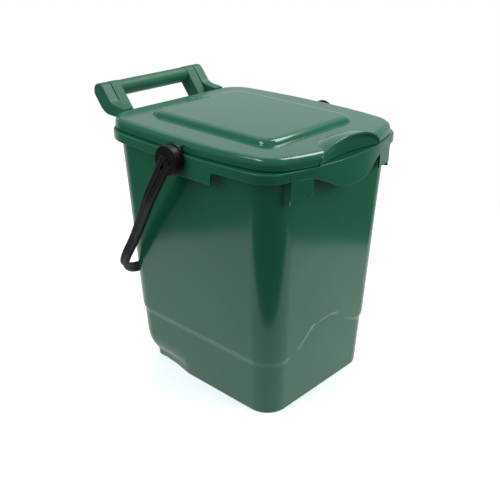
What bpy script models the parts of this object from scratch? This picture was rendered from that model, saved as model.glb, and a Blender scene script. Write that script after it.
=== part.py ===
"""Kerbside food waste caddy: a tapered bin, a hinged lid and a swinging carry handle.

Metres, +Z up. The bin's front faces -Y. The origin is the middle of its flat base, below the carry
handle's pivots. Both halves mirror in X.
"""

import math

import bmesh
import bpy
from mathutils import Matrix, Vector

MM = 0.001

# Walls of the bin
WALL = 2.6 * MM
FLOOR = 3.2 * MM
BASE_HALF_WIDTH = 111.6 * MM
BASE_FRONT = 136.4 * MM
BASE_REAR = 134.0 * MM
MOUTH_HALF_WIDTH = 127.7 * MM
MOUTH_FRONT = 150.4 * MM
MOUTH_REAR = 150.2 * MM
BASE_CORNER = 34.0 * MM
MOUTH_CORNER = 41.0 * MM
LEAST_CORNER = 1.0 * MM

# Waist: the wall below it stands back, and the line climbs in a wave across the front
WAIST_INSET = 2.4 * MM
WAIST_HEIGHT = 83.5 * MM
WAIST_BAND = 5.0 * MM
WAVE_RISE = 37.5 * MM
WAVE_FLAT = 12.0 * MM
WAVE_REACH = 76.0 * MM

# The rear wall ends in a round edge to grip when tipping, above a foot that stands back
FOOT_REACH = 109.0 * MM
FOOT_HEIGHT = 9.0 * MM
FOOT_CORNER = 12.0 * MM
FOOT_PINCH = 8.0 * MM
PINCH_START = 22.0 * MM
PINCH_END = 76.0 * MM
GRIP_FOOT = 13.5 * MM
GRIP_TOP = 42.0 * MM
GRIP_LEVELS = 6
EDGE_ROUND = 2.0 * MM
BASE_ROUND = 0.8 * MM

# Rim: it reaches out from the mouth, whose sizes hold just below it, and its skirt hangs from its edge
RIM_TOP = 358.9 * MM
MOUTH_DROP = 26.9 * MM
MOUTH_HEIGHT = RIM_TOP - MOUTH_DROP
RIM_PLATE = 3.2 * MM
RIM_UNDERSIDE = RIM_TOP - RIM_PLATE
RIM_SKIRT = 2.6 * MM
RIM_SKIRT_DROP = 12.4 * MM
RIM_SKIRT_FOOT = RIM_TOP - RIM_SKIRT_DROP
RIM_SIDE_REACH = 16.8 * MM
RIM_FRONT_REACH = 21.1 * MM
RIM_REAR_REACH = 12.3 * MM
RIM_HALF_WIDTH = MOUTH_HALF_WIDTH + RIM_SIDE_REACH
RIM_FRONT = MOUTH_FRONT + RIM_FRONT_REACH
RIM_REAR = MOUTH_REAR + RIM_REAR_REACH
RIM_FRONT_CORNER = 21.5 * MM
RIM_REAR_CORNER = 53.0 * MM
RIM_SIDE_BOW = 8.0 * MM
RIM_FRONT_BOW = 26.5 * MM

# Lip at the front of the skirt, and aprons below the carry handle's pivots
LIP_DROP = 23.5 * MM
LIP_FLARE = 2.8 * MM
LIP_FLAT = 10.4 * MM
LIP_REACH = 82.0 * MM
APRON_DROP = 16.5 * MM
APRON_FRONT = 58.5 * MM
APRON_REAR = 23.0 * MM
APRON_CUT = 8.0 * MM
CUT_ROUND = 4.0 * MM

# Hooks under the front rim, behind its skirt
HOOK_INNER = 69.8 * MM
HOOK_OUTER = 103.5 * MM
HOOK_DROP = 23.0 * MM
HOOK_FOOT = RIM_SKIRT_FOOT - HOOK_DROP
HOOK_PLATE = 2.6 * MM
HOOK_SETBACK = 0.5 * RIM_SKIRT
HOOK_WEB_DROP = 6.5 * MM
HOOK_TOP = RIM_UNDERSIDE - 0.3 * RIM_PLATE
WEB_TOP = RIM_UNDERSIDE - 0.5 * RIM_PLATE
HOOK_NOTCH = 6.0 * MM
HOOK_NOTCH_DEPTH = 2.5 * MM

# Rear bar handle, whose bar lies on the lid's hinge axis
HINGE_REACH = 46.6 * MM
HINGE_RISE = 33.0 * MM
HINGE_Y = RIM_REAR + HINGE_REACH
HINGE_Z = RIM_TOP + HINGE_RISE
BAR_RADIUS = 11.3 * MM
ARM_RADIUS = 12.0 * MM
CHEEK_INNER = 65.0 * MM
CHEEK_WIDTH = 16.2 * MM
CHEEK_OUTER = CHEEK_INNER + CHEEK_WIDTH
CHEEK_SLOPE = math.radians(51.1)
CHEEK_DROP = 34.5 * MM
CHEEK_FOOT = RIM_SKIRT_FOOT - CHEEK_DROP
RIB = 2.6 * MM
HINGE_PIN_RADIUS = 4.0 * MM
HINGE_PIN_LENGTH = 6.6 * MM

# Lid: its skirt stands on the rim, inside the rim's edge at the sides and the rear
SEAT_GAP = 0.4 * MM
LID_WALL = 2.6 * MM
LID_SIDE_LEDGE = 4.9 * MM
LID_REAR_LEDGE = 3.7 * MM
LID_OVERHANG = 1.4 * MM
LID_HALF_WIDTH = RIM_HALF_WIDTH - LID_SIDE_LEDGE
LID_FRONT = RIM_FRONT + LID_OVERHANG
LID_REAR = RIM_REAR - LID_REAR_LEDGE
LID_FRONT_CORNER = 22.0 * MM
LID_REAR_CORNER = 37.0 * MM
LID_SIDE_BOW = 12.2 * MM
LID_FRONT_BOW = 28.9 * MM
LID_HEIGHT = 15.6 * MM
LID_SHOULDER = 8.5 * MM
LID_DRAFT = 0.3 * MM
SHADOW_GAP = 1.6 * MM
SHADOW_DEPTH = 0.5 * LID_WALL
LID_FOOT = RIM_TOP + SEAT_GAP
LID_TOP = LID_FOOT + LID_HEIGHT
SHOULDER_STEPS = 6
PANEL_HALF_WIDTH = 88.5 * MM
PANEL_FRONT = 109.0 * MM
PANEL_REAR = 114.0 * MM
PANEL_CORNER = 30.0 * MM
PANEL_DRAFT = 4.0 * MM
PANEL_ROUND = 1.5 * MM
PANEL_HEIGHT = 7.0 * MM
PANEL_STEPS = 5
PANEL_TOP = LID_TOP + PANEL_HEIGHT

# Hood over the finger recess at the front of the lid
HOOD_SETBACK = 5.4 * MM
HOOD_FRONT = LID_FRONT - HOOD_SETBACK
HOOD_HALF_WIDTH = 63.0 * MM
HOOD_DEPTH = 46.5 * MM
HOOD_HEIGHT = 26.0 * MM
HOOD_WALL = 2.8 * MM
RECESS_DEPTH = 9.5 * MM
RECESS_FRONT = HOOD_FRONT - RECESS_DEPTH
RECESS_BOW = 9.0 * MM

# Arms of the lid, and a tab over each hub of the carry handle
ARM_GAP = 1.2 * MM
ARM_INNER = CHEEK_OUTER + ARM_GAP
ARM_WIDTH = 15.6 * MM
ARM_PROUD = 2.3 * MM
ARM_TOP = LID_TOP + ARM_PROUD
ARM_UNDER = LID_FOOT + ARM_PROUD
ARM_TOP_BEND = 7.0 * MM
ARM_TOP_RUN = 43.5 * MM
ARM_UNDER_BEND = 14.0 * MM
PIN_CLEARANCE = 0.35 * MM
LUG_FRONT = 10.0 * MM
LUG_REAR = 3.0 * MM
LUG_LIFT = 2.5 * MM
LUG_FOOT = LID_FOOT + LUG_LIFT
LUG_HEIGHT = 6.6 * MM
LUG_SETBACK = 0.1 * MM

# Carry handle
PIVOT_DROP = 8.3 * MM
PIVOT_Z = RIM_TOP - PIVOT_DROP
PIVOT_PIN_RADIUS = 5.0 * MM
HUB_GAP = 0.5 * MM
HUB_BACK = RIM_HALF_WIDTH + HUB_GAP
HUB_REACH = 15.3 * MM
HUB_FACE = RIM_HALF_WIDTH + HUB_REACH
HUB_DISC = 3.0 * MM
HUB_RADIUS = 19.7 * MM
HUB_CHAMFER = 1.0 * MM
HUB_DRUM_RADIUS = 18.2 * MM
HUB_FLANGE = 1.8 * MM
HUB_CAP = 1.8 * MM
STRAP_WIDTH = 19.5 * MM
GRIP_WIDTH = 15.5 * MM
TAPER_START = 60.0 * MM
TAPER_END = 190.0 * MM
STRAP_THICKNESS = 8.0 * MM
STRAP_EDGE = 3.0 * MM
STRAP_CHAMFER = 1.6 * MM
STRAP_GROOVE = 1.6 * MM
GROOVE_HALF_WIDTH = 3.2 * MM
STRAP_PROUD = 2.0 * MM
STRAP_DROP = 274.0 * MM
STRAP_HEAD = 4.5 * MM
WALL_CLEARANCE = 0.6 * MM

# The strap's outer face, as shares of its half span (inwards) and of its drop (down)
STRAP_CURVE = (
    (0.0, 0.0),
    (0.009, 0.09),
    (0.0142, 0.18),
    (0.0247, 0.28),
    (0.0513, 0.38),
    (0.0871, 0.52),
    (0.11, 0.64),
    (0.116, 0.74),
    (0.13, 0.81),
    (0.165, 0.873),
    (0.245, 0.927),
    (0.32, 0.957),
    (0.4067, 0.976),
    (0.6199, 0.993),
    (0.8177, 0.999),
)
HEAD_CURVE = (0.98, 0.85, 0.6, 0.3)

CORNER_STEPS = 7
FRONT_STEPS = 36
REAR_STEPS = 10
CUT_STEPS = (0.0, 0.07, 0.25, 0.47, 0.53, 0.75, 0.93, 1.0)
BOW_START = APRON_FRONT + 2.0 * APRON_CUT


def clear_scene():
    for obj in list(bpy.data.objects):
        bpy.data.objects.remove(obj)


def smooth(t):
    """Ease from 0 to 1."""
    t = min(1.0, max(0.0, t))
    return t * t * (3.0 - 2.0 * t)


def blend(a, b, t):
    return a + (b - a) * t


# Plan outlines

class Plan:
    """A rounded rectangle in plan whose sides and front may bow.

    Every plan has the same number of points, in the same order, so that any two can be bridged.
    """

    def __init__(
        self, half_width, front, rear, front_corner, rear_corner, side_bow=0.0, front_bow=0.0, pinch=0.0
    ):
        self.half_width = half_width
        self.front = front
        self.rear = rear
        self.front_corner = front_corner
        self.rear_corner = rear_corner
        self.side_bow = side_bow
        self.front_bow = front_bow
        self.pinch = pinch

    def inset(self, distance):
        return Plan(
            self.half_width - distance,
            self.front - distance,
            self.rear - distance,
            max(self.front_corner - distance, LEAST_CORNER),
            max(self.rear_corner - distance, LEAST_CORNER),
            self.side_bow,
            self.front_bow,
            self.pinch,
        )

    def corner(self, x_sign, y_sign):
        """Points of one corner, from its side end to its front or rear end."""
        radius = self.front_corner if y_sign < 0 else self.rear_corner
        reach = self.front if y_sign < 0 else self.rear
        points = []
        for step in range(CORNER_STEPS + 1):
            angle = 0.5 * math.pi * step / CORNER_STEPS
            x = x_sign * (self.half_width - radius + radius * math.cos(angle))
            y = y_sign * (reach - radius + radius * math.sin(angle))
            points.append((x, y))
        return points

    def side(self, x_sign):
        """Points between the two corners of one side, front to rear."""
        front_end = self.front - self.front_corner
        rear_end = self.rear - self.rear_corner
        front_cut = [-APRON_FRONT - APRON_CUT * (1.0 - step) for step in CUT_STEPS]
        rear_cut = [APRON_REAR + APRON_CUT * (1.0 - step) for step in reversed(CUT_STEPS)]
        stops = [-blend(front_end, -front_cut[0], 0.5)] + front_cut + [-0.5 * APRON_FRONT, 0.0] + rear_cut
        stops += [blend(rear_cut[-1], rear_end, share) for share in (0.4, 0.75)]
        return [(x_sign * self.half_width, stop) for stop in stops]

    def across(self, y, half, steps):
        return [(blend(-half, half, step / steps), y) for step in range(1, steps)]

    def bowed(self, x, y):
        along = y / (self.front if y < 0 else self.rear)
        front_end = self.front - self.front_corner
        share = max(0.0, -y - BOW_START) / (front_end - BOW_START)
        y += self.front_bow * (x / self.half_width) ** 2 * min(1.0, share)
        x *= 1.0 - self.side_bow / self.half_width * along * along
        x *= 1.0 - self.pinch / self.half_width * smooth((y - PINCH_START) / (PINCH_END - PINCH_START))
        return x, y

    def points(self):
        front_half = self.half_width - self.front_corner
        rear_half = self.half_width - self.rear_corner
        loop = self.across(-self.front, front_half, FRONT_STEPS)
        loop += list(reversed(self.corner(1, -1)))
        loop += self.side(1)
        loop += self.corner(1, 1)
        loop += list(reversed(self.across(self.rear, rear_half, REAR_STEPS)))
        loop += list(reversed(self.corner(-1, 1)))
        loop += list(reversed(self.side(-1)))
        loop += self.corner(-1, -1)
        return [self.bowed(x, y) for x, y in loop]


def level(plan, z):
    return [Vector((x, y, z)) for x, y in plan.points()]


def wall_plan(z, inset=0.0):
    """The bin's tapered wall at a height."""
    rise = z / MOUTH_HEIGHT
    rear = blend(BASE_REAR, MOUTH_REAR, rise)
    corner = blend(BASE_CORNER, MOUTH_CORNER, rise)
    below = min(1.0, max(0.0, GRIP_TOP - z) / (GRIP_TOP - GRIP_FOOT))
    full = math.sqrt(1.0 - below * below)
    plan = Plan(
        blend(BASE_HALF_WIDTH, MOUTH_HALF_WIDTH, rise),
        blend(BASE_FRONT, MOUTH_FRONT, rise),
        blend(FOOT_REACH, rear, full),
        corner,
        blend(FOOT_CORNER, corner, full),
        pinch=FOOT_PINCH * (1.0 - full),
    )
    return plan.inset(inset)


def rim_plan(inset=0.0):
    plan = Plan(
        RIM_HALF_WIDTH, RIM_FRONT, RIM_REAR, RIM_FRONT_CORNER, RIM_REAR_CORNER, RIM_SIDE_BOW, RIM_FRONT_BOW
    )
    return plan.inset(inset)


def lid_plan(inset=0.0):
    plan = Plan(
        LID_HALF_WIDTH, LID_FRONT, LID_REAR, LID_FRONT_CORNER, LID_REAR_CORNER, LID_SIDE_BOW, LID_FRONT_BOW
    )
    return plan.inset(inset)


def waist_height(x, y):
    """Height of the waist line: level, with one wave across the front."""
    if y > 0:
        return WAIST_HEIGHT
    rise = 1.0 - smooth((abs(x) - WAVE_FLAT) / (WAVE_REACH - WAVE_FLAT))
    return WAIST_HEIGHT + WAVE_RISE * rise


def waist_loop(offset, inset):
    """A loop of the wall that follows the waist line at a height above it."""
    count = len(wall_plan(WAIST_HEIGHT).points())
    loop = []
    for index in range(count):
        x, y = wall_plan(WAIST_HEIGHT, inset).points()[index]
        z = waist_height(x, y) + offset
        x, y = wall_plan(z, inset).points()[index]
        loop.append(Vector((x, y, z)))
    return loop


def skirt_foot(x, y):
    """Height of the rim skirt's lower edge, and how far it flares out there."""
    if y < 0 and abs(x) < LIP_REACH:
        share = 1.0 - smooth((abs(x) - LIP_FLAT) / (LIP_REACH - LIP_FLAT))
        return RIM_SKIRT_FOOT - LIP_DROP * share, LIP_FLARE * share
    beyond = max(-APRON_FRONT - y, y - APRON_REAR, 0.0) / APRON_CUT
    if beyond >= 1.0:
        return RIM_SKIRT_FOOT, 0.0
    turn = 2.0 * beyond if beyond < 0.5 else 2.0 - 2.0 * beyond
    climb = CUT_ROUND * (1.0 - math.sqrt(1.0 - turn * turn))
    if beyond < 0.5:
        return RIM_SKIRT_FOOT - APRON_DROP + climb, 0.0
    return RIM_SKIRT_FOOT - climb, 0.0


def skirt_foot_loop(inset):
    loop = []
    for x, y in rim_plan(inset).points():
        z, flare = skirt_foot(x, y)
        loop.append(Vector((x, y - flare, z)))
    return loop


# Meshes

def mesh_object(name, bm, smooth_angle=32.0):
    bmesh.ops.recalc_face_normals(bm, faces=bm.faces)
    mesh = bpy.data.meshes.new(name)
    bm.to_mesh(mesh)
    bm.free()
    mesh.shade_smooth()
    mesh.set_sharp_from_angle(angle=math.radians(smooth_angle))
    obj = bpy.data.objects.new(name, mesh)
    bpy.context.collection.objects.link(obj)
    return obj


def loft(name, loops):
    """A solid through loops that have the same number of points, capped at both ends."""
    bm = bmesh.new()
    rings = [[bm.verts.new(point) for point in loop] for loop in loops]
    for ring, other in zip(rings, rings[1:]):
        count = len(ring)
        for index in range(count):
            after = (index + 1) % count
            bm.faces.new((ring[index], ring[after], other[after], other[index]))
    bm.faces.new(rings[0])
    bm.faces.new(rings[-1])
    return mesh_object(name, bm)


def prism(name, profile, low, high, axis="X"):
    """A closed profile drawn in (Y, Z), or in (X, Y) for a Z prism, pushed along its axis."""
    loops = []
    for reach in (low, high):
        if axis == "X":
            loops.append([Vector((reach, u, v)) for u, v in profile])
        else:
            loops.append([Vector((u, v, reach)) for u, v in profile])
    return loft(name, loops)


def box(name, low, high):
    profile = [(low[1], low[2]), (high[1], low[2]), (high[1], high[2]), (low[1], high[2])]
    return prism(name, profile, low[0], high[0])


def rod(name, low, high, y, z, radius, steps=24):
    """A cylinder along X."""
    profile = []
    for step in range(steps):
        angle = math.tau * step / steps
        profile.append((y + radius * math.cos(angle), z + radius * math.sin(angle)))
    return prism(name, profile, low, high)


def dome(name, centre, axes, steps=36, rings=18):
    """An ellipsoid."""
    bm = bmesh.new()
    bmesh.ops.create_uvsphere(bm, u_segments=steps, v_segments=rings, radius=1.0)
    bm.transform(Matrix.Translation(centre) @ Matrix.Diagonal((*axes, 1.0)))
    return mesh_object(name, bm)


def mirrored(build, *sizes):
    """Both the +X and the -X copy of a shape built by a function that takes its side first."""
    return [build(side, *sizes) for side in (-1, 1)]


def apply_boolean(target, tool, operation):
    modifier = target.modifiers.new(operation.title(), "BOOLEAN")
    modifier.operation = operation
    modifier.solver = "EXACT"
    modifier.object = tool
    depsgraph = bpy.context.evaluated_depsgraph_get()
    mesh = bpy.data.meshes.new_from_object(target.evaluated_get(depsgraph))
    target.modifiers.remove(modifier)
    old = target.data
    target.data = mesh
    bpy.data.meshes.remove(old)
    bpy.data.objects.remove(tool)


def unite(target, tools):
    for tool in tools:
        apply_boolean(target, tool, "UNION")


def cut(target, tools):
    for tool in tools:
        apply_boolean(target, tool, "DIFFERENCE")


def keep_inside(target, tool):
    apply_boolean(target, tool, "INTERSECT")


def finish_mesh(obj, name, smooth_angle=32.0):
    """Clean the mesh that the cuts left, and shade it."""
    bm = bmesh.new()
    bm.from_mesh(obj.data)
    bmesh.ops.remove_doubles(bm, verts=bm.verts, dist=0.02 * MM)
    bmesh.ops.dissolve_degenerate(bm, edges=bm.edges, dist=0.01 * MM)
    bmesh.ops.recalc_face_normals(bm, faces=bm.faces)
    bm.to_mesh(obj.data)
    bm.free()
    obj.name = name
    obj.data.name = name
    obj.data.shade_smooth()
    obj.data.set_sharp_from_angle(angle=math.radians(smooth_angle))


def place_origin(obj, point):
    """Put an object's origin on its joint's axis and leave its surface where it is."""
    obj.data.transform(Matrix.Translation(-point))
    obj.location = point


def paint(obj, name, colour, roughness):
    material = bpy.data.materials.new(name)
    material.use_nodes = True
    shader = material.node_tree.nodes["Principled BSDF"]
    shader.inputs["Base Color"].default_value = (*colour, 1.0)
    shader.inputs["Roughness"].default_value = roughness
    shader.inputs["Metallic"].default_value = 0.0
    material.diffuse_color = (*colour, 1.0)
    obj.data.materials.clear()
    obj.data.materials.append(material)


# Bin body

def bin_shell():
    """The walls and the rim, as one loft that runs up the outside and down the inside."""
    outside = [
        level(wall_plan(0.0, WAIST_INSET + BASE_ROUND), 0.0),
        level(wall_plan(0.0, WAIST_INSET + 0.3 * BASE_ROUND), 0.3 * BASE_ROUND),
        level(wall_plan(BASE_ROUND, WAIST_INSET), BASE_ROUND),
    ]
    outside.append(level(wall_plan(FOOT_HEIGHT, WAIST_INSET), FOOT_HEIGHT))
    turns = [0.5 * math.pi * step / GRIP_LEVELS for step in range(1, GRIP_LEVELS + 1)]
    grip_levels = [GRIP_TOP - (GRIP_TOP - GRIP_FOOT) * math.cos(turn) for turn in turns]
    for z in grip_levels:
        outside.append(level(wall_plan(z, WAIST_INSET), z))
    outside.append(waist_loop(-0.5 * WAIST_BAND, WAIST_INSET))
    outside.append(waist_loop(0.5 * WAIST_BAND, 0.0))
    outside.append(level(wall_plan(RIM_UNDERSIDE), RIM_UNDERSIDE))

    rim = [
        level(rim_plan(RIM_SKIRT), RIM_UNDERSIDE),
        skirt_foot_loop(RIM_SKIRT),
        skirt_foot_loop(0.0),
        level(rim_plan(), RIM_TOP - EDGE_ROUND),
        level(rim_plan(0.3 * EDGE_ROUND), RIM_TOP - 0.3 * EDGE_ROUND),
        level(rim_plan(EDGE_ROUND), RIM_TOP),
    ]

    inside = [
        level(wall_plan(RIM_TOP, WALL), RIM_TOP),
        waist_loop(0.5 * WAIST_BAND, WALL),
        waist_loop(-0.5 * WAIST_BAND, WAIST_INSET + WALL),
    ]
    for z in reversed(grip_levels):
        inside.append(level(wall_plan(z, WAIST_INSET + WALL), z + WALL))
    inside.append(level(wall_plan(0.0, WAIST_INSET + WALL), GRIP_FOOT))
    inside.append(level(wall_plan(0.0, WAIST_INSET + WALL + EDGE_ROUND), FLOOR))
    return loft("bin_shell", outside + rim + inside)


def slab_point(along, across):
    """A point in (Y, Z) on a cheek of the rear handle.

    Along runs from the hinge axis down to the rim, across runs from the axis to the front face.
    """
    y = HINGE_Y - along * math.cos(CHEEK_SLOPE) - across * math.sin(CHEEK_SLOPE)
    z = HINGE_Z - along * math.sin(CHEEK_SLOPE) + across * math.cos(CHEEK_SLOPE)
    return y, z


def slab_length(across, y=None, z=None):
    """How far along the slab a line parallel to it meets a height or a depth."""
    start_y, start_z = slab_point(0.0, across)
    if z is not None:
        return (start_z - z) / math.sin(CHEEK_SLOPE)
    return (start_y - y) / math.cos(CHEEK_SLOPE)


def slab_round(radius, start=-0.5 * math.pi, steps=10):
    """Half a circle round the hinge axis, by default from the slab's rear face over to its front."""
    points = []
    for step in range(steps + 1):
        angle = start + math.pi * step / steps
        points.append(slab_point(-radius * math.cos(angle), radius * math.sin(angle)))
    return points


def cheek(side):
    """One hollow leg of the rear handle, open to the rear."""
    wall_y = wall_plan(RIM_SKIRT_FOOT).rear
    profile = slab_round(ARM_RADIUS)
    profile.append(slab_point(slab_length(ARM_RADIUS, z=RIM_UNDERSIDE), ARM_RADIUS))
    profile.append((wall_y - 0.6 * WALL, RIM_UNDERSIDE))
    profile.append((wall_y - 0.6 * WALL, CHEEK_FOOT))
    profile.append((wall_y + 0.6 * WALL, CHEEK_FOOT))
    profile.append(slab_point(0.35 * slab_length(-ARM_RADIUS, y=wall_y), -ARM_RADIUS))
    low, high = sorted((side * CHEEK_INNER, side * CHEEK_OUTER))
    return prism("cheek", profile, low, high)


def cheek_pocket(side):
    """The hollow of a leg, cut in from its rear face."""
    inner = ARM_RADIUS - RIB
    wall_y = RIM_REAR + 0.4 * RIB
    below = CHEEK_FOOT - ARM_RADIUS
    profile = slab_round(inner)
    profile.append(slab_point(slab_length(inner, y=wall_y), inner))
    profile.append((wall_y, below))
    profile.append((HINGE_Y + 3.0 * ARM_RADIUS, below))
    profile.append(slab_point(0.1 * ARM_RADIUS, -3.0 * ARM_RADIUS))
    low, high = sorted((side * (CHEEK_INNER + RIB), side * (CHEEK_OUTER - RIB)))
    return prism("cheek_pocket", profile, low, high)


def rear_bar():
    reach = CHEEK_INNER + 0.5 * RIB
    return rod("rear_bar", -reach, reach, HINGE_Y, HINGE_Z, BAR_RADIUS, 28)


def rear_bar_channel():
    """The bar is a channel that opens down and to the rear, out of sight from the front."""
    inner = BAR_RADIUS - RIB
    profile = slab_round(inner, start=0.0)
    profile.append(slab_point(inner, -3.0 * BAR_RADIUS))
    profile.append(slab_point(-inner, -3.0 * BAR_RADIUS))
    reach = CHEEK_INNER - RIB
    return prism("rear_bar_channel", profile, -reach, reach)


def hinge_pin(side):
    low, high = sorted((side * (CHEEK_OUTER - 0.5 * RIB), side * (CHEEK_OUTER + HINGE_PIN_LENGTH)))
    return rod("hinge_pin", low, high, HINGE_Y, HINGE_Z, HINGE_PIN_RADIUS, 20)


def pivot_pin(side):
    """The carry handle's pin, moulded from the wall out through the apron."""
    tip = HUB_FACE - HUB_CAP - HUB_GAP
    low, high = sorted((side * (MOUTH_HALF_WIDTH - 0.5 * WALL), side * tip))
    return rod("pivot_pin", low, high, 0.0, PIVOT_Z, PIVOT_PIN_RADIUS, 24)


def pivot_boss(side):
    low, high = sorted((side * (MOUTH_HALF_WIDTH - 0.5 * WALL), side * (RIM_HALF_WIDTH - 0.5 * RIM_SKIRT)))
    return rod("pivot_boss", low, high, 0.0, PIVOT_Z, 1.4 * PIVOT_PIN_RADIUS, 24)


def rim_front_y(x):
    """The bowed front of the rim, clear of its corners."""
    return -RIM_FRONT + RIM_FRONT_BOW * (x / RIM_HALF_WIDTH) ** 2


def hook_face_y(x):
    """A hook's face, on the chord of the bowed rim between the hook's two ends."""
    share = (x - HOOK_INNER) / (HOOK_OUTER - HOOK_INNER)
    return blend(rim_front_y(HOOK_INNER), rim_front_y(HOOK_OUTER), share) + HOOK_SETBACK


def hook_plate(side):
    """The plate of a hook, in line with the rim's skirt, with a notch in its lower edge."""
    notch = HOOK_INNER + HOOK_NOTCH
    notch_top = HOOK_FOOT + HOOK_NOTCH_DEPTH
    outline = [
        (HOOK_INNER, HOOK_FOOT),
        (notch, HOOK_FOOT),
        (notch, notch_top),
        (notch + HOOK_NOTCH, notch_top),
        (notch + HOOK_NOTCH, HOOK_FOOT),
        (HOOK_OUTER, HOOK_FOOT),
        (HOOK_OUTER, HOOK_TOP),
        (HOOK_INNER, HOOK_TOP),
    ]
    loops = []
    for depth in (0.0, HOOK_PLATE):
        loops.append([Vector((side * x, hook_face_y(x) + depth, z)) for x, z in outline])
    return loft("hook_plate", loops)


def front_wall_y(x, z):
    """Depth of the bin's front wall, round its corner too."""
    plan = wall_plan(z)
    past = max(0.0, abs(x) - plan.half_width + plan.front_corner)
    return plan.front_corner - plan.front - math.sqrt(plan.front_corner ** 2 - past ** 2)


def hook_web(side):
    """The web that ties a hook's plate to the wall and ends in the middle of it."""
    front = hook_face_y(HOOK_OUTER) + 0.5 * HOOK_PLATE
    foot = HOOK_FOOT - HOOK_WEB_DROP
    profile = [
        (front, foot),
        (front_wall_y(HOOK_OUTER, foot) + 0.5 * WALL, foot),
        (front_wall_y(HOOK_OUTER, WEB_TOP) + 0.5 * WALL, WEB_TOP),
        (front, WEB_TOP),
    ]
    low, high = sorted((side * (HOOK_OUTER - HOOK_PLATE), side * (HOOK_OUTER + 0.2 * HOOK_PLATE)))
    return prism("hook_web", profile, low, high)


def build_bin_body():
    body = bin_shell()
    unite(body, mirrored(cheek))
    cut(body, mirrored(cheek_pocket))
    bar = rear_bar()
    cut(bar, [rear_bar_channel()])
    unite(body, [bar])
    unite(body, mirrored(hinge_pin))
    unite(body, mirrored(pivot_boss))
    unite(body, mirrored(pivot_pin))
    unite(body, mirrored(hook_plate))
    unite(body, mirrored(hook_web))
    finish_mesh(body, "bin_body")
    paint(body, "green_bin", (0.034, 0.124, 0.078), 0.38)


# Lid

def panel_plan(inset):
    plan = Plan(PANEL_HALF_WIDTH, PANEL_FRONT, PANEL_REAR, PANEL_CORNER, PANEL_CORNER)
    return plan.inset(inset)


def shoulder_loops(wall=0.0, steps=SHOULDER_STEPS):
    """Loops up the lid's skirt and over its round shoulder, or a wall's thickness inside them.

    Outside, the skirt's foot is stepped, which leaves a dark line between the lid and the rim.
    """
    radius = LID_SHOULDER - wall
    centre_inset = LID_SHOULDER + LID_DRAFT
    centre_z = LID_TOP - LID_SHOULDER
    if wall == 0.0:
        loops = [
            level(lid_plan(SHADOW_DEPTH), LID_FOOT),
            level(lid_plan(SHADOW_DEPTH), LID_FOOT + SHADOW_GAP),
            level(lid_plan(), LID_FOOT + SHADOW_GAP),
        ]
    else:
        loops = [level(lid_plan(wall), LID_FOOT - wall)]
    for step in range(steps + 1):
        angle = 0.5 * math.pi * step / steps
        inset = centre_inset - radius * math.cos(angle)
        loops.append(level(lid_plan(inset), centre_z + radius * math.sin(angle)))
    return loops


def lid_solid():
    """The outside of the lid: skirt, rounded shoulder, flat top and raised panel."""
    loops = shoulder_loops()
    for step in range(PANEL_STEPS + 1):
        climb = step / PANEL_STEPS
        inset = blend(-PANEL_ROUND, PANEL_DRAFT + PANEL_ROUND, climb)
        loops.append(level(panel_plan(inset), LID_TOP + PANEL_HEIGHT * smooth(climb)))
    return loft("lid_solid", loops)


def recess_y(x):
    """The finger recess's wall, set back from the rim in the middle."""
    return -RECESS_FRONT - RECESS_BOW * (x / HOOD_HALF_WIDTH) ** 2


def behind_recess(point):
    """Keep the lid's hollow a wall's thickness behind the finger recess."""
    if point.y < 0 and abs(point.x) < HOOD_HALF_WIDTH + 2.0 * LID_WALL:
        point.y = max(point.y, recess_y(point.x) + LID_WALL)
    return point


def lid_hollow():
    loops = [[behind_recess(point) for point in loop] for loop in shoulder_loops(LID_WALL, 3)]
    loops.append(level(panel_plan(LID_WALL), LID_TOP - LID_WALL))
    loops.append(level(panel_plan(LID_WALL + PANEL_DRAFT), PANEL_TOP - LID_WALL))
    return loft("lid_hollow", loops)


def hood_dome():
    return dome("hood", (0.0, -HOOD_FRONT, LID_FOOT), (HOOD_HALF_WIDTH, HOOD_DEPTH, HOOD_HEIGHT))


def hood_inside(name, rear_limit=None, front_limit=None):
    """The space inside the hood's skin, kept in front of or behind the recess's wall."""
    inner = dome(
        name,
        (0.0, -HOOD_FRONT, LID_FOOT),
        (HOOD_HALF_WIDTH - HOOD_WALL, HOOD_DEPTH - HOOD_WALL, HOOD_HEIGHT - HOOD_WALL),
    )
    xs = [blend(-HOOD_HALF_WIDTH, HOOD_HALF_WIDTH, step / 15) for step in range(16)]
    if rear_limit is not None:
        outline = [(x, recess_y(x) - rear_limit) for x in xs]
        far = -HOOD_FRONT - 2.0 * HOOD_DEPTH
    else:
        outline = [(x, recess_y(x) + front_limit) for x in xs]
        far = HOOD_DEPTH
    outline += [(HOOD_HALF_WIDTH, far), (-HOOD_HALF_WIDTH, far)]
    low = LID_FOOT - 1.5 * HOOD_HEIGHT
    high = LID_FOOT + 2.0 * HOOD_HEIGHT
    keep_inside(inner, prism("keep", outline, low, high, "Z"))
    return inner


def arm_outline(shrink=0.0):
    """Side outline of a lid arm: a round end on the hinge axis, then a bend down to the lid."""
    radius = ARM_RADIUS - shrink
    top = ARM_TOP - shrink
    profile = slab_round(radius)
    start = slab_point(slab_length(radius, z=top + ARM_TOP_BEND), radius)
    end = (HINGE_Y - ARM_TOP_RUN, top)
    corner = slab_point(slab_length(radius, z=top), radius)
    profile += bend(start, corner, end)
    profile.append((end[0] - ARM_WIDTH, top - 0.1 * ARM_WIDTH))
    return profile


def bend(start, corner, end, steps=5):
    """A quadratic curve between two straight runs."""
    points = []
    for step in range(steps + 1):
        t = step / steps
        y = (1 - t) ** 2 * start[0] + 2 * t * (1 - t) * corner[0] + t * t * end[0]
        z = (1 - t) ** 2 * start[1] + 2 * t * (1 - t) * corner[1] + t * t * end[1]
        points.append((y, z))
    return points


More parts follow.
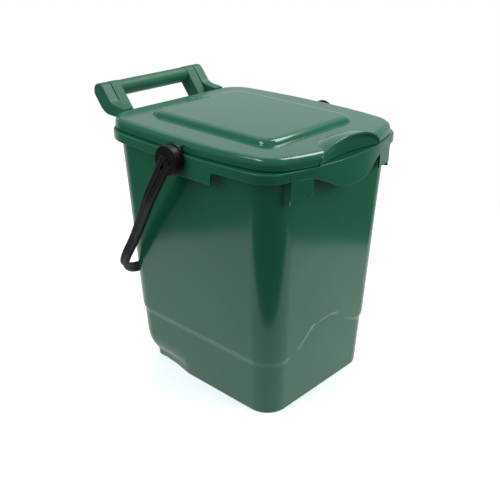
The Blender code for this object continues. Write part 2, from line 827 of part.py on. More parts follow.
def arm_underside(radius, under, front):
    """Lower edge of a lid arm, from the lid out to the round end."""
    corner = slab_point(slab_length(-radius, z=under), -radius)
    start = (corner[0] - ARM_UNDER_BEND, under)
    end = slab_point(slab_length(-radius, z=under) - ARM_UNDER_BEND, -radius)
    return [(front, under)] + bend(start, corner, end)


def lid_arm(side):
    inside_lid = LID_REAR - 1.5 * LID_WALL
    profile = [point for point in arm_outline() if point[0] > inside_lid]
    profile.append((inside_lid, ARM_TOP - 0.4 * RIB))
    profile += arm_underside(ARM_RADIUS, ARM_UNDER, inside_lid)
    low, high = sorted((side * ARM_INNER, side * (ARM_INNER + ARM_WIDTH)))
    return prism("lid_arm", profile, low, high)


def lid_arm_pocket(side):
    """The hollow of a lid arm, open below."""
    outside_lid = LID_REAR + 0.4 * RIB
    open_z = ARM_UNDER - 0.7 * ARM_RADIUS
    profile = [point for point in arm_outline(RIB) if point[0] > outside_lid]
    profile.append((outside_lid, ARM_TOP - RIB))
    profile.append((outside_lid, open_z))
    profile.append(slab_point(slab_length(-ARM_RADIUS, z=ARM_UNDER) + 0.5 * ARM_RADIUS, -ARM_RADIUS))
    profile.append(slab_point(1.7 * ARM_RADIUS, -1.5 * ARM_RADIUS))
    profile.append(slab_point(0.7 * ARM_RADIUS, RIB - ARM_RADIUS))
    low, high = sorted((side * (ARM_INNER + RIB), side * (ARM_INNER + ARM_WIDTH - RIB)))
    return prism("lid_arm_pocket", profile, low, high)


def hinge_socket(side):
    low, high = sorted((side * (ARM_INNER - 0.5 * ARM_GAP), side * (ARM_INNER + 1.5 * RIB)))
    return rod("hinge_socket", low, high, HINGE_Y, HINGE_Z, HINGE_PIN_RADIUS + PIN_CLEARANCE, 20)


def lid_lug(side):
    """A tab on the lid's skirt, above each hub of the carry handle."""
    low, high = sorted((side * (LID_HALF_WIDTH - 2.0 * LID_WALL), side * (RIM_HALF_WIDTH - LUG_SETBACK)))
    return box("lid_lug", (low, -LUG_FRONT, LUG_FOOT), (high, LUG_REAR, LUG_FOOT + LUG_HEIGHT))


def build_lid():
    lid = lid_solid()
    unite(lid, [hood_dome()])
    far = 3.0 * HOOD_HALF_WIDTH
    front = -2.0 * LID_FRONT
    low = LID_FOOT - far
    cut(lid, [box("hood_face", (-far, front, low), (far, -HOOD_FRONT, PANEL_TOP + far))])
    cut(lid, [box("lid_foot", (-far, front, low), (far, 2.0 * LID_REAR, LID_FOOT))])
    cut(lid, [lid_hollow()])
    cut(lid, [hood_inside("hood_hollow", front_limit=LID_WALL)])
    cut(lid, [hood_inside("finger_recess", rear_limit=0.0)])
    unite(lid, mirrored(lid_arm))
    cut(lid, mirrored(lid_arm_pocket))
    cut(lid, mirrored(hinge_socket))
    unite(lid, mirrored(lid_lug))
    finish_mesh(lid, "lid")
    paint(lid, "green_lid", (0.040, 0.137, 0.088), 0.34)
    place_origin(lid, Vector((0.0, HINGE_Y, HINGE_Z)))


# Carry handle, drawn upright: X across, R down from the pivots, T through the strap's width

def strap_path():
    """Outer face of the strap as (x, r) points, from one pivot round to the other."""
    face = HUB_FACE + STRAP_PROUD
    half = [Vector((face * (1.0 - share), drop * STRAP_DROP)) for share, drop in STRAP_CURVE]
    run = spline(half + [Vector((0.0, STRAP_DROP))])
    round_end = [Vector((face, -STRAP_HEAD * share)) for share in HEAD_CURVE]
    near = round_end + run
    far = [Vector((-point.x, point.y)) for point in reversed(near[:-1])]
    return near + far


def spline(points, steps=3):
    """A smooth curve through points, with a few steps between each two."""
    path = []
    for index in range(len(points) - 1):
        before = points[max(index - 1, 0)]
        start = points[index]
        end = points[index + 1]
        after = points[min(index + 2, len(points) - 1)]
        for step in range(steps):
            t = step / steps
            path.append(
                0.5 * (2 * start + (end - before) * t + (2 * before - 5 * start + 4 * end - after) * t * t
                       + (3 * start - before - 3 * end + after) * t ** 3)
            )
    path.append(points[-1])
    return path


def strap_width(r):
    """The strap narrows from its hubs to its grip."""
    return blend(STRAP_WIDTH, GRIP_WIDTH, smooth((r - TAPER_START) / (TAPER_END - TAPER_START)))


def strap_section():
    """The strap across its full width as (t, depth), with a groove between two ridges outside."""
    half = 0.5 * STRAP_WIDTH
    thick = STRAP_THICKNESS
    outer = [
        (-half, STRAP_EDGE),
        (-half + 0.3 * STRAP_EDGE, 0.3 * STRAP_EDGE),
        (-half + STRAP_EDGE, 0.0),
        (-GROOVE_HALF_WIDTH, 0.0),
        (-0.6 * GROOVE_HALF_WIDTH, STRAP_GROOVE),
    ]
    outer += [(-t, depth) for t, depth in reversed(outer)]
    inner = [(half, thick - STRAP_CHAMFER), (half - STRAP_CHAMFER, thick)]
    inner += [(-t, depth) for t, depth in reversed(inner)]
    return outer + inner


def strap():
    """The strap swept along its path, with rounded upper ends on the hubs."""
    path = strap_path()
    section = strap_section()
    loops = []
    for index, point in enumerate(path):
        before = path[max(index - 1, 0)]
        after = path[min(index + 1, len(path) - 1)]
        run = (after - before).normalized()
        inward = Vector((-run.y, run.x))
        round_end = math.sqrt(1.0 - (min(point.y, 0.0) / STRAP_HEAD) ** 2)
        narrow = round_end * strap_width(point.y) / STRAP_WIDTH
        loops.append([to_world(point + inward * depth, t * narrow) for t, depth in section])
    return loft("strap", loops)


def to_world(point, t):
    """Place a point of the upright handle: x stays, r hangs down, t lies front to rear."""
    return Vector((point.x, t, -point.y))


def hub(side):
    """A turned hub: face disc, drum, and flange next to the apron."""
    profile = [
        (HUB_FACE, 0.0),
        (HUB_FACE, HUB_RADIUS - HUB_CHAMFER),
        (HUB_FACE - HUB_CHAMFER, HUB_RADIUS),
        (HUB_FACE - HUB_DISC, HUB_RADIUS),
        (HUB_FACE - HUB_DISC, HUB_DRUM_RADIUS),
        (HUB_BACK + HUB_FLANGE, HUB_DRUM_RADIUS),
        (HUB_BACK + HUB_FLANGE, HUB_RADIUS),
        (HUB_BACK, HUB_RADIUS),
        (HUB_BACK, 0.0),
    ]
    bm = bmesh.new()
    verts = [bm.verts.new((side * x, 0.0, radius)) for x, radius in profile]
    edges = [bm.edges.new(pair) for pair in zip(verts, verts[1:])]
    bmesh.ops.spin(
        bm, geom=verts + edges, cent=(0, 0, 0), axis=(1, 0, 0), angle=math.tau, steps=36, use_merge=True
    )
    bmesh.ops.remove_doubles(bm, verts=bm.verts, dist=0.01 * MM)
    return mesh_object("hub", bm)


def hub_bore(side):
    """The blind hole in a hub that turns on the body's pin."""
    low, high = sorted((side * (RIM_HALF_WIDTH - HUB_GAP), side * (HUB_FACE - HUB_CAP)))
    return rod("hub_bore", low, high, 0.0, 0.0, PIVOT_PIN_RADIUS + PIN_CLEARANCE, 24)


def rear_wall_y(x, z):
    """Depth of the bin's rear wall, round its corner too, or nothing beside the bin."""
    plan = wall_plan(z)
    past = max(0.0, abs(x) - plan.half_width + plan.rear_corner)
    if past > plan.rear_corner:
        return None
    return plan.rear - plan.rear_corner + math.sqrt(plan.rear_corner ** 2 - past ** 2)


def wall_gap(angle):
    """The least gap between the strap's inner edge and the rear wall when the handle hangs back."""
    gaps = []
    for point in strap_path():
        hanging = point.y - STRAP_THICKNESS
        half = 0.5 * strap_width(point.y)
        y = hanging * math.sin(angle) - half * math.cos(angle)
        z = PIVOT_Z - hanging * math.cos(angle) - half * math.sin(angle)
        wall = rear_wall_y(point.x, z)
        if wall is not None:
            gaps.append(y - wall)
    return min(gaps)


def rest_angle():
    """How far the hanging handle is held off the vertical by the bin's rear wall."""
    low, high = 0.4, 0.8
    for _ in range(30):
        angle = 0.5 * (low + high)
        if wall_gap(angle) < WALL_CLEARANCE:
            low = angle
        else:
            high = angle
    return high


def build_carry_handle():
    handle = strap()
    unite(handle, mirrored(hub))
    cut(handle, mirrored(hub_bore))
    finish_mesh(handle, "carry_handle")
    paint(handle, "black_handle", (0.018, 0.019, 0.022), 0.42)
    handle.location = (0.0, 0.0, PIVOT_Z)
    handle.rotation_euler = (rest_angle(), 0.0, 0.0)


def main():
    clear_scene()
    build_bin_body()
    build_lid()
    build_carry_handle()


main()
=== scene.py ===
# %% [markdown]
# A kerbside food waste caddy in Blender
#
# The object is three plastic mouldings: a green bin, a green lid that turns on two pins behind the bin, and a
# black carry handle that turns on two pins at the sides.
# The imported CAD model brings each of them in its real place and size, in metres.
# This lesson gives them softer forms, rounded edges, smooth shading and moulded plastic, and then lights them
# as the photograph of the object is lit.

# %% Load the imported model
import math

import bmesh
import bpy
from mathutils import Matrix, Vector


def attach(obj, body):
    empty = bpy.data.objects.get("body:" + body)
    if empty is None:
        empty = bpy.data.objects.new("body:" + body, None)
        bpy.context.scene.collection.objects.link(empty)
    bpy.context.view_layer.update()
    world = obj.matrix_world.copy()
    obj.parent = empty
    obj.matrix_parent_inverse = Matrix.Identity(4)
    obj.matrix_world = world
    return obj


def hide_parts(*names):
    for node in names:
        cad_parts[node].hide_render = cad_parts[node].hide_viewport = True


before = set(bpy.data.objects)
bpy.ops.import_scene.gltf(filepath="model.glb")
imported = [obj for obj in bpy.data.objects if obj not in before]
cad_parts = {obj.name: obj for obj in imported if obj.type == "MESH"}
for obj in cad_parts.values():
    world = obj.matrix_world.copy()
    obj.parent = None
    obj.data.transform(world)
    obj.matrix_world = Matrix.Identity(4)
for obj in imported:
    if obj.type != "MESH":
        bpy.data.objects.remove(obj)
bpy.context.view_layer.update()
print("nodes:", sorted(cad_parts))

# %% [markdown]
# The camera
#
# The photograph looks down on the near corner of the bin, so both its left side and its front are seen.
# A camera could be placed by eye, but the corners of a box-like object fix it well: the place, the turn and
# the lens below come from the corners of the lid and the base, so every piece can be compared with the
# photograph in its own place.
# The lens shift is small and moves the picture by less than five pixels.

# %% Place the camera
CAMERA_PLACE = (-0.7564, -0.6967, 0.6540)
CAMERA_YAW = 47.6
CAMERA_PITCH = 24.9
CAMERA_ROLL = 0.4
CAMERA_LENS = 55.44
CAMERA_SENSOR = 36
CAMERA_SHIFT = (-0.0096, -0.0018)
BIN_MIDDLE = Vector((0, 0, 0.2))

bpy.ops.object.select_all(action="DESELECT")
bpy.ops.object.camera_add(location=CAMERA_PLACE)
camera = bpy.context.object
camera.name = "camera"
camera.rotation_euler = (math.radians(90 - CAMERA_PITCH), 0, math.radians(-CAMERA_YAW))
camera.rotation_euler.rotate_axis("Z", math.radians(CAMERA_ROLL))
camera.data.lens = CAMERA_LENS
camera.data.sensor_width = CAMERA_SENSOR
camera.data.shift_x, camera.data.shift_y = CAMERA_SHIFT
bpy.context.scene.camera = camera
print("camera to the middle of the bin: %.2f m" % (camera.location - BIN_MIDDLE).length)

# %% [markdown]
# Moulded plastic
#
# The green mouldings are dyed polypropylene: one colour all through, a skin that mirrors the studio softly,
# and a surface that is never quite flat, because the plastic shrinks as it cools.
# One colour and one gloss value would look like paint.
# Noise at several scales is used instead, each read from the piece's own coordinates, so that it stays on the
# plastic when a piece moves.

# %% Add noise and ranges to a material


def noise(tree, scale, detail):
    """A noise on the piece's own coordinates, finer where the scale is larger."""
    place = tree.nodes.new("ShaderNodeTexCoord")
    pattern = tree.nodes.new("ShaderNodeTexNoise")
    pattern.inputs["Scale"].default_value = scale
    pattern.inputs["Detail"].default_value = detail
    tree.links.new(place.outputs["Object"], pattern.inputs["Vector"])
    return pattern.outputs["Fac"]


def in_range(tree, value, start, end, low, high):
    """Turn a value that runs from start to end into one that runs from low to high."""
    span = tree.nodes.new("ShaderNodeMapRange")
    span.inputs["From Min"].default_value = start
    span.inputs["From Max"].default_value = end
    span.inputs["To Min"].default_value = low
    span.inputs["To Max"].default_value = high
    tree.links.new(value, span.inputs["Value"])
    return span.outputs["Result"]


print("helpers for materials are ready")

# %% [markdown]
# The colour of the dye
#
# Dye isn't spread quite evenly in a melt, so the green drifts a little across each moulding.
# A broad noise picks between a darker and a lighter shade, and the two are so close that no cloud shows.

# %% Drift the dye
DYE_SCALE = 9
DYE_DETAIL = 4
DYE_DRIFT = (0.3, 0.7)


def dye_colour(tree, shades):
    """A colour that drifts between the darker and the lighter shade."""
    ramp = tree.nodes.new("ShaderNodeValToRGB")
    for stop, position, shade in zip(ramp.color_ramp.elements, DYE_DRIFT, shades):
        stop.position = position
        stop.color = (*shade, 1)
    tree.links.new(noise(tree, DYE_SCALE, DYE_DETAIL), ramp.inputs["Fac"])
    return ramp.outputs["Color"]


print("the dye drifts between", DYE_DRIFT)

# %% [markdown]
# The gloss of the skin
#
# The walls are glossy, and the bar, legs and arms at the rear are clearly duller, as grips often are.
# A separate material for the rear would end in a hard line, and one moulding has one finish slot.
# So the roughness of the skin wavers with a noise, and rises with the distance towards the rear.

# %% Waver the gloss
SKIN_SCALE = 60
SKIN_DETAIL = 6
GLOSSY_UP_TO = 0.13
DULL_FROM = 0.16
REAR_DULLNESS = 0.35


def skin_roughness(tree, roughness):
    """A roughness between two values, and more of it towards the rear."""
    skin = in_range(tree, noise(tree, SKIN_SCALE, SKIN_DETAIL), 0, 1, *roughness)
    place = tree.nodes.new("ShaderNodeTexCoord")
    along = tree.nodes.new("ShaderNodeSeparateXYZ")
    tree.links.new(place.outputs["Object"], along.inputs["Vector"])
    rear = in_range(tree, along.outputs["Y"], GLOSSY_UP_TO, DULL_FROM, 0, REAR_DULLNESS)
    both = tree.nodes.new("ShaderNodeMath")
    tree.links.new(skin, both.inputs[0])
    tree.links.new(rear, both.inputs[1])
    return both.outputs["Value"]


print("the skin is dull from y = %.2f m" % DULL_FROM)

# %% [markdown]
# The surface of the skin
#
# Two heights of bump lie over each other: a broad one, where the wall has sunk a little and reflections
# waver, and a fine one, which is the grain of the mould.
# Both are far too low to be modelled, so they only bend the light.

# %% Raise the skin
WAVE_SCALE = 14
WAVE_DETAIL = 1
GRAIN_SCALE = 700
GRAIN_DETAIL = 2
BUMP_STRENGTH = 0.5


def bump(tree, scale, detail, height):
    """A bump of the given height in metres."""
    raised = tree.nodes.new("ShaderNodeBump")
    raised.inputs["Strength"].default_value = BUMP_STRENGTH
    raised.inputs["Distance"].default_value = height
    tree.links.new(noise(tree, scale, detail), raised.inputs["Height"])
    return raised


def skin_bump(tree, waver, grain):
    """The grain of the mould on top of the waver of the wall."""
    wave = bump(tree, WAVE_SCALE, WAVE_DETAIL, waver)
    fine = bump(tree, GRAIN_SCALE, GRAIN_DETAIL, grain)
    tree.links.new(wave.outputs["Normal"], fine.inputs["Normal"])
    return fine.outputs["Normal"]


print("bump strength:", BUMP_STRENGTH)

# %% [markdown]
# Three plastics
#
# The lid is a separate moulding from the bin, a little bluer and glossier.
# The handle is black and satin, and mirrors much less than the greens, so its specular level is low.

# %% Mix the plastics
PLASTIC_IOR = 1.5
HANDLE_SPECULAR = 0.16


def moulded_plastic(name, shades, roughness, waver, grain):
    """A dyed plastic with a wavering gloss and surface."""
    plastic = bpy.data.materials.new(name)
    plastic.use_nodes = True
    tree = plastic.node_tree
    shader = tree.nodes["Principled BSDF"]
    shader.inputs["IOR"].default_value = PLASTIC_IOR
    tree.links.new(dye_colour(tree, shades), shader.inputs["Base Color"])
    tree.links.new(skin_roughness(tree, roughness), shader.inputs["Roughness"])
    tree.links.new(skin_bump(tree, waver, grain), shader.inputs["Normal"])
    print("material:", name)
    return plastic


bin_green = moulded_plastic(
    "bin_green",
    shades=[(0.007, 0.098, 0.048), (0.010, 0.112, 0.058)],
    roughness=(0.12, 0.19),
    waver=0.0003,
    grain=0.00001,
)
lid_green = moulded_plastic(
    "lid_green",
    shades=[(0.007, 0.098, 0.050), (0.010, 0.112, 0.060)],
    roughness=(0.09, 0.13),
    waver=0.0001,
    grain=0.00001,
)
handle_black = moulded_plastic(
    "handle_black",
    shades=[(0.006, 0.006, 0.008), (0.009, 0.009, 0.011)],
    roughness=(0.35, 0.45),
    waver=0.0002,
    grain=0.00003,
)
handle_shader = handle_black.node_tree.nodes["Principled BSDF"]
handle_shader.inputs["Specular IOR Level"].default_value = HANDLE_SPECULAR

# %% [markdown]
# From CAD node to moulding
#
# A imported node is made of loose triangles, so it can't be shaded smoothly or bevelled.
# Remodelling each piece would risk its measured shape, so a copy is taken: its doubled corners are merged,
# and triangles that lie in one plane become one face, because a bevel needs clean faces beside it.

# %% Copy the nodes
MERGE_DISTANCE = 0.00001
FLAT_ANGLE = 0.8


def moulding_from(node, name, body, plastic):
    """A merged copy of a CAD node, which it replaces."""
    bpy.ops.object.select_all(action="DESELECT")
    piece = bpy.data.objects.new(name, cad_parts[node].data.copy())
    bpy.context.scene.collection.objects.link(piece)
    piece.select_set(True)
    bpy.context.view_layer.objects.active = piece
    bpy.ops.object.mode_set(mode="EDIT")
    bpy.ops.mesh.select_all(action="SELECT")
    bpy.ops.mesh.remove_doubles(threshold=MERGE_DISTANCE)
    bpy.ops.mesh.dissolve_limited(angle_limit=math.radians(FLAT_ANGLE))
    bpy.ops.object.mode_set(mode="OBJECT")
    piece.data.materials.clear()
    piece.data.materials.append(plastic)
    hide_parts(node)
    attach(piece, body)
    print(name, "has", len(piece.data.polygons), "faces")
    return piece


bin_moulding = moulding_from("bin_body", "bin_moulding", "body", bin_green)
lid_moulding = moulding_from("lid", "lid_moulding", "lid", lid_green)
handle_moulding = moulding_from(
    "carry_handle", "handle_moulding", "carry_handle", handle_black
)

# %% [markdown]
# The waist of the bin
#
# A narrow band runs round the bin where its foot steps in, with one wave across the front.
# On the real bin this step is a soft slope that mirrors the table, so it shows as a pale line.
# The CAD step is shorter and steeper, so the edge below it is lowered and the slope comes nearer to the wall.

# %% Soften the waist
WAIST_DROP = 0.0045
WAIST_FROM = 0.05
WAIST_TO = 0.16
BAND_SLOPE = (-0.55, -0.36)
WALL_SLOPE = 0.12


def height_of(face):
    """The height of a face's middle."""
    return face.calc_center_median().z


def is_band(face):
    """Whether a face is part of the waist's slope, as the CAD has it."""
    return BAND_SLOPE[0] < face.normal.z < BAND_SLOPE[1] and WAIST_FROM < height_of(face) < WAIST_TO


shape = bmesh.new()
shape.from_mesh(bin_moulding.data)
lower_edge = set()
for edge in shape.edges:
    bands = [face for face in edge.link_faces if is_band(face)]
    walls = [face for face in edge.link_faces if abs(face.normal.z) < WALL_SLOPE]
    if len(bands) == 1 and len(walls) == 1:
        middle = (edge.verts[0].co.z + edge.verts[1].co.z) / 2
        if height_of(walls[0]) < middle:
            lower_edge.update(edge.verts)
for point in lower_edge:
    point.co.z -= WAIST_DROP
shape.to_mesh(bin_moulding.data)
shape.free()
print("waist points lowered:", len(lower_edge))

# %% [markdown]
# The panel on the lid
#
# The raised panel of the lid has a soft crown: its edge starts steeply at the ledge and rolls over into the
# flat top, so light fades across it.
# The CAD panel has an even slope instead, built as six rings of points, each given here as how far it is
# inside the panel's outline and how high it is above the ledge.
# A new panel would have to be joined to the lid again, so the rings that are there are moved instead.
# The new profile is chosen to roll over as the real panel's edge does.

# %% Describe the panel's rings
LID_TOP = 0.3749
PANEL_HALF_WIDTH = 0.0885
PANEL_FRONT = 0.109
PANEL_REAR = 0.114
PANEL_CORNER = 0.030
PANEL_HEIGHT = 0.007
PANEL_SPREAD = 0.0015
PANEL_EDGE_WIDTH = 0.007
RING_STEPS = 5

CAD_RINGS = []
for ring in range(RING_STEPS + 1):
    part = ring / RING_STEPS
    CAD_RINGS.append((PANEL_EDGE_WIDTH * part - PANEL_SPREAD, PANEL_HEIGHT * part * part * (3 - 2 * part)))

CROWN_RINGS = [
    (-PANEL_SPREAD, 0),
    (-0.0003, 0.0016),
    (0.001, 0.0032),
    (0.0028, 0.0049),
    (0.0058, 0.0063),
    (0.0115, PANEL_HEIGHT),
]
print("crown in mm:", [(round(1000 * inset, 1), round(1000 * height, 1)) for inset, height in CROWN_RINGS])

# %% [markdown]
# Moving the rings
#
# A point belongs to a ring if it has its height and lies on one of its sides or on the arc of a corner.
# It then moves straight to the new ring, and inside a corner its distances shrink with the corner's radius,
# which is tighter than the CAD's, as it is on the real lid.

# %% Crown the panel
TIGHT_CORNER = 0.020
CORNER_SHRINK = 0.6
LEAST_CORNER = 0.008
NEAR_HEIGHT = 0.00012
NEAR_SIDE = 0.0002
NEAR_ARC = 0.0003


def on_ring(away, corner):
    """Whether a point, away from the ring's two nearest sides, lies on a side or on the corner's arc."""
    if min(away) < -NEAR_SIDE or min(away) > PANEL_CORNER:
        return False
    arc = math.hypot(max(corner - away[0], 0), max(corner - away[1], 0))
    return min(away) <= NEAR_SIDE or abs(arc - corner) <= NEAR_ARC


def crown_point(point):
    """Move a point of the panel's edge to its place on the crown, and say if it was one."""
    reach = PANEL_FRONT if point.co.y < 0 else PANEL_REAR
    for (old_inset, height), (new_inset, new_height) in zip(CAD_RINGS, CROWN_RINGS):
        away = [PANEL_HALF_WIDTH - old_inset - abs(point.co.x), reach - old_inset - abs(point.co.y)]
        corner = PANEL_CORNER - old_inset
        if abs(point.co.z - LID_TOP - height) > NEAR_HEIGHT or not on_ring(away, corner):
            continue
        if max(away) <= corner + NEAR_SIDE:
            new_corner = max(TIGHT_CORNER - CORNER_SHRINK * new_inset, LEAST_CORNER)
            away = [gap * new_corner / corner for gap in away]
        point.co.x = math.copysign(PANEL_HALF_WIDTH - new_inset - away[0], point.co.x)
        point.co.y = math.copysign(reach - new_inset - away[1], point.co.y)
        point.co.z = LID_TOP + new_height
        return True
    return False


shape = bmesh.new()
shape.from_mesh(lid_moulding.data)
print("panel points moved:", sum([crown_point(point) for point in shape.verts]))
shape.to_mesh(lid_moulding.data)
shape.free()

# %% [markdown]
# Rounded edges
#
# Light runs along every edge of a moulding, because no mould leaves a sharp one.
# A wider bevel would look softer but would eat the grooves and hooks, so it is half a millimetre, on edges
# that are sharper than a given angle.

# %% Bevel the edges
EDGE_RADIUS = 0.0005
EDGE_ANGLE = 34
EDGE_SEGMENTS = 2


def bevel_edges(piece):
    """Round the sharp edges of a piece."""
    bpy.ops.object.select_all(action="DESELECT")
    piece.select_set(True)
    bpy.context.view_layer.objects.active = piece
    bpy.ops.object.modifier_add(type="BEVEL")
    bevel = piece.modifiers[-1]
    bevel.width = EDGE_RADIUS
    bevel.segments = EDGE_SEGMENTS
    bevel.angle_limit = math.radians(EDGE_ANGLE)
    bevel.use_clamp_overlap = False
    bevel.miter_outer = "MITER_SHARP"
    bpy.ops.object.modifier_apply(modifier=bevel.name)
    print(piece.name, "has", len(piece.data.polygons), "faces after its bevels")


for piece in (bin_moulding, lid_moulding, handle_moulding):
    bevel_edges(piece)

# %% [markdown]
# Smooth shading
#
# Faces that meet at a small angle are shaded as one surface.
# The waist's slope is almost in line with the wall, so its edges would be smoothed away: they are marked as
# sharp by their slope and height.
# Normals weighted by the size of the faces keep the flat walls flat beside the bevels.

# %% Shade the mouldings
SHARP_ANGLE = 21
SOFT_BAND_SLOPE = (-0.55, -0.2)
CREASE_TO = 0.18
NORMAL_WEIGHT = 90


def crease_waist(piece):
    """Keep both edges of the waist's slope crisp in the shading."""
    shape = bmesh.new()
    shape.from_mesh(piece.data)
    creased = 0
    for edge in shape.edges:
        if len(edge.link_faces) != 2:
            continue
        band, wall = sorted(face.normal.z for face in edge.link_faces)
        height = min(edge.verts[0].co.z, max(height_of(face) for face in edge.link_faces))
        sloping = SOFT_BAND_SLOPE[0] < band < SOFT_BAND_SLOPE[1] and abs(wall) < WALL_SLOPE
        if sloping and WAIST_FROM < height < CREASE_TO:
            edge.smooth = False
            creased += 1
    shape.to_mesh(piece.data)
    shape.free()
    print("creased edges:", creased)


def shade(piece):
    """Shade a piece smoothly, with its flat walls kept flat."""
    bpy.ops.object.select_all(action="DESELECT")
    piece.select_set(True)
    bpy.context.view_layer.objects.active = piece
    bpy.ops.object.shade_smooth_by_angle(angle=math.radians(SHARP_ANGLE))
    if piece is bin_moulding:
        crease_waist(piece)
    bpy.ops.object.modifier_add(type="WEIGHTED_NORMAL")
    weighted = piece.modifiers[-1]
    weighted.keep_sharp = True
    weighted.weight = NORMAL_WEIGHT
    bpy.ops.object.modifier_apply(modifier=weighted.name)


for piece in (bin_moulding, lid_moulding, handle_moulding):
    shade(piece)
    print("shaded:", piece.name)

# %% [markdown]
# The white table
#
# The caddy stands on a white table in a white studio, and its glossy walls show where that table ends: they
# are pale where they mirror the table and dark where they mirror the room beyond it.
# A floor without end would lose that edge, so the table has the size that the reflections tell, turned as the
# camera is.

# %% Build the table
TABLE_HALF_WIDTH = 0.545
TABLE_NEAR_EDGE = 0.36
TABLE_FAR_EDGE = 1.2
TABLE_TOP = -0.0006

yaw = math.radians(CAMERA_YAW)
middle = (TABLE_FAR_EDGE - TABLE_NEAR_EDGE) / 2
bpy.ops.object.select_all(action="DESELECT")
bpy.ops.mesh.primitive_plane_add(size=1)
table = bpy.context.object
table.name = "table"
table.scale = (2 * TABLE_HALF_WIDTH, TABLE_NEAR_EDGE + TABLE_FAR_EDGE, 1)
table.rotation_euler = (0, 0, -yaw)
table.location = (middle * math.sin(yaw), middle * math.cos(yaw), TABLE_TOP)
bpy.ops.object.transform_apply(location=True, rotation=True, scale=True)
print("table:", [round(side, 2) for side in table.dimensions])

# %% [markdown]
# The table's white
#
# More light would bleach the object with the table.
# So for the camera the table adds a little light of its own: it turns white like the backdrop, and only the
# shadow of the object stays. Reflections see it evenly white.

# %% Paint the table
TABLE_WHITE = (0.82, 0.84, 0.87, 1)
TABLE_ROUGHNESS = 0.35
GLOW_COLOUR = (0.9, 0.95, 1, 1)
GLOW_STRENGTH = 0.48
MIRRORED_COLOUR = (0.97, 0.99, 1, 1)

table_white = bpy.data.materials.new("table_white")
table_white.use_nodes = True
nodes = table_white.node_tree.nodes
link = table_white.node_tree.links.new
shader = nodes["Principled BSDF"]
shader.inputs["Base Color"].default_value = TABLE_WHITE
shader.inputs["Roughness"].default_value = TABLE_ROUGHNESS
glow = nodes.new("ShaderNodeEmission")
glow.inputs["Color"].default_value = GLOW_COLOUR
seen = nodes.new("ShaderNodeLightPath")
lift = nodes.new("ShaderNodeMath")
lift.operation = "MULTIPLY"
lift.inputs[1].default_value = GLOW_STRENGTH
both = nodes.new("ShaderNodeAddShader")
mirrored = nodes.new("ShaderNodeEmission")
mirrored.inputs["Color"].default_value = MIRRORED_COLOUR
mirrored.inputs["Strength"].default_value = 1
pick = nodes.new("ShaderNodeMixShader")
link(seen.outputs["Is Camera Ray"], lift.inputs[0])
link(lift.outputs["Value"], glow.inputs["Strength"])
link(shader.outputs["BSDF"], both.inputs[0])
link(glow.outputs["Emission"], both.inputs[1])
link(seen.outputs["Is Glossy Ray"], pick.inputs["Fac"])
link(both.outputs["Shader"], pick.inputs[1])
link(mirrored.outputs["Emission"], pick.inputs[2])
link(pick.outputs["Shader"], nodes["Material Output"].inputs["Surface"])
table.data.materials.append(table_white)
print("material:", table_white.name)

# %% [markdown]
# The lamps
#
# The photograph shows two lamps by their reflections: a wide box behind on the right, which leaves the bright
# bar on the front shoulder of the lid, and a small one high on the left, which leaves a spot beside it.
# Two large fills stand low at the sides. They light the walls but are kept out of reflections, because the
# walls in the photograph mirror no lamp there.

# %% Hang the soft boxes
LID_FRONT = Vector((0, -0.1, 0.37))


def soft_box(name, azimuth, elevation, away, size, radiance, mirrored):
    """An area lamp round the lid's front. Azimuth 0 is behind it for the camera, and 90 is on its right."""
    turn = math.radians(CAMERA_YAW + azimuth)
    rise = math.radians(elevation)
    toward = Vector((math.sin(turn) * math.cos(rise), math.cos(turn) * math.cos(rise), math.sin(rise)))
    bpy.ops.object.select_all(action="DESELECT")
    bpy.ops.object.light_add(type="AREA", location=LID_FRONT + away * toward)
    lamp = bpy.context.object
    lamp.name = name
    lamp.data.shape = "RECTANGLE"
    lamp.data.size, lamp.data.size_y = size
    lamp.data.energy = radiance * size[0] * size[1] * math.pi
    lamp.rotation_euler = toward.to_track_quat("Z", "Y").to_euler()
    lamp.visible_glossy = mirrored
    print("lamp:", name, round(lamp.data.energy, 1), "W")


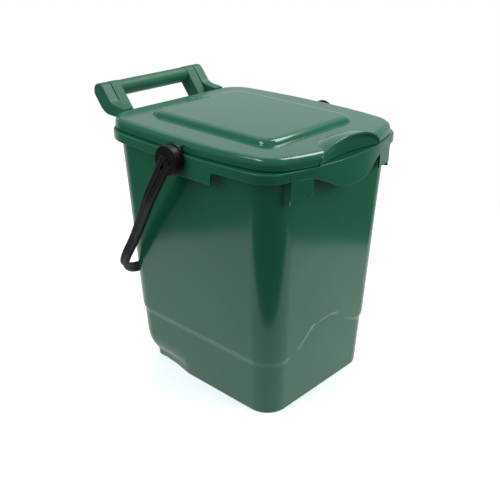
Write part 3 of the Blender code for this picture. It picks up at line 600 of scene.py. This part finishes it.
soft_box("right_box", azimuth=42, elevation=54, away=1.5, size=(0.85, 0.55), radiance=8.5, mirrored=True)
soft_box("left_box", azimuth=-98, elevation=60, away=1.5, size=(0.55, 0.36), radiance=8, mirrored=True)
soft_box("left_fill", azimuth=-105, elevation=25, away=1.6, size=(1.2, 1.2), radiance=3, mirrored=False)
soft_box("right_fill", azimuth=105, elevation=25, away=1.6, size=(1.2, 1.2), radiance=4.4, mirrored=False)

# %% [markdown]
# The room
#
# The walls of the bin mirror a dim room that is a little paler above the horizon, and the lid and the far
# edges mirror a pale backdrop behind the object.
# Both are worked out from the direction of the ray, and the brighter one counts.
# The camera itself sees plain white, so the background needs no more light.

# %% Fill the room
HORIZON = (-0.05, 0.15)
ROOM_STRENGTH = (0.12, 0.35)
BACKDROP_EDGE = (0.3, 0.6)
BACKDROP_STRENGTH = 0.7
ROOM_COLOUR = (0.95, 0.98, 1, 1)

room = bpy.data.worlds.new("room")
bpy.context.scene.world = room
room.use_nodes = True
tree = room.node_tree
nodes = tree.nodes
link = tree.links.new
nodes.clear()
place = nodes.new("ShaderNodeTexCoord")
split = nodes.new("ShaderNodeSeparateXYZ")
behind = nodes.new("ShaderNodeVectorMath")
behind.operation = "DOT_PRODUCT"
behind.inputs[1].default_value = (math.sin(yaw), math.cos(yaw), 0)
brighter = nodes.new("ShaderNodeMath")
brighter.operation = "MAXIMUM"
seen = nodes.new("ShaderNodeLightPath")
around = nodes.new("ShaderNodeBackground")
around.inputs["Color"].default_value = ROOM_COLOUR
white = nodes.new("ShaderNodeBackground")
white.inputs["Color"].default_value = (1, 1, 1, 1)
pick = nodes.new("ShaderNodeMixShader")
output = nodes.new("ShaderNodeOutputWorld")
link(place.outputs["Generated"], split.inputs["Vector"])
link(place.outputs["Generated"], behind.inputs[0])
link(in_range(tree, split.outputs["Z"], *HORIZON, *ROOM_STRENGTH), brighter.inputs[0])
link(in_range(tree, behind.outputs["Value"], *BACKDROP_EDGE, 0, BACKDROP_STRENGTH), brighter.inputs[1])
link(brighter.outputs["Value"], around.inputs["Strength"])
link(seen.outputs["Is Camera Ray"], pick.inputs["Fac"])
link(around.outputs["Background"], pick.inputs[1])
link(white.outputs["Background"], pick.inputs[2])
link(pick.outputs["Shader"], output.inputs["Surface"])
bpy.context.scene.view_settings.view_transform = "Standard"
print("room: white for the camera")
